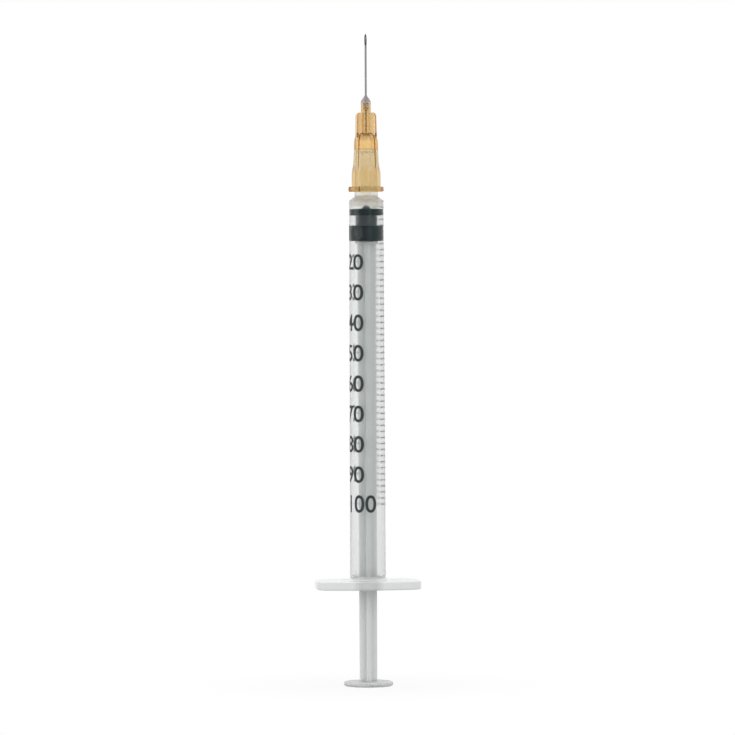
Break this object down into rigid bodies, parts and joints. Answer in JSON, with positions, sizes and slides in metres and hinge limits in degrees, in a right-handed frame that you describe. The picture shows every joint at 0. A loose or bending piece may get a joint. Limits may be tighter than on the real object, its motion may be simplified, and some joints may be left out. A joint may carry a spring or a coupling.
{
  "type": "insulin syringe",
  "caption": "Slim insulin syringe with a clear slip-nozzle barrel, finger flange, rubber stopper, cross-ribbed plunger rod and a pull-off needle in an amber hub.",
  "frame": {"origin": "centre of the thumb rest's face, which the syringe stands on", "axes": "+Z along the barrel to the needle's point, +X along the wings of the finger flange, the side that faces the camera is -Y"},
  "size_m": [0.0198, 0.0116, 0.1239],
  "materials": {
    "barrel_plastic": "clear moulded polypropylene, faintly hazy",
    "scale_ink": "black printed ink, thin and matt",
    "stopper_rubber": "dark grey-green moulded elastomer, lightly siliconed",
    "rod_plastic": "milky moulded polypropylene",
    "hub_plastic": "transparent amber moulded polypropylene",
    "needle_steel": "drawn and ground stainless steel",
    "adhesive": "cured grey-lilac adhesive"
  },
  "bodies": {
    "barrel": {"barrel": "barrel_plastic"},
    "stopper": {"stopper": "stopper_rubber"},
    "plunger": {"plunger_rod": "rod_plastic"},
    "needle": {"needle_hub": "hub_plastic", "needle_tube": "needle_steel", "adhesive_bead": "adhesive"}
  },
  "joints": [
    {"name": "stopper_slide", "type": "slide", "parent": "barrel", "child": "stopper", "axis": [0, 0, 1], "range_m": [-0.0644, 0.0014]},
    {"name": "rod_swivel", "type": "hinge", "parent": "stopper", "child": "plunger", "pos_m": [0, 0, 0.086], "axis": [0, 0, 1], "continuous": true},
    {"name": "needle_pull", "type": "slide", "parent": "barrel", "child": "needle", "axis": [0, 0, 1], "range_m": [0, 0.012]}
  ]
}
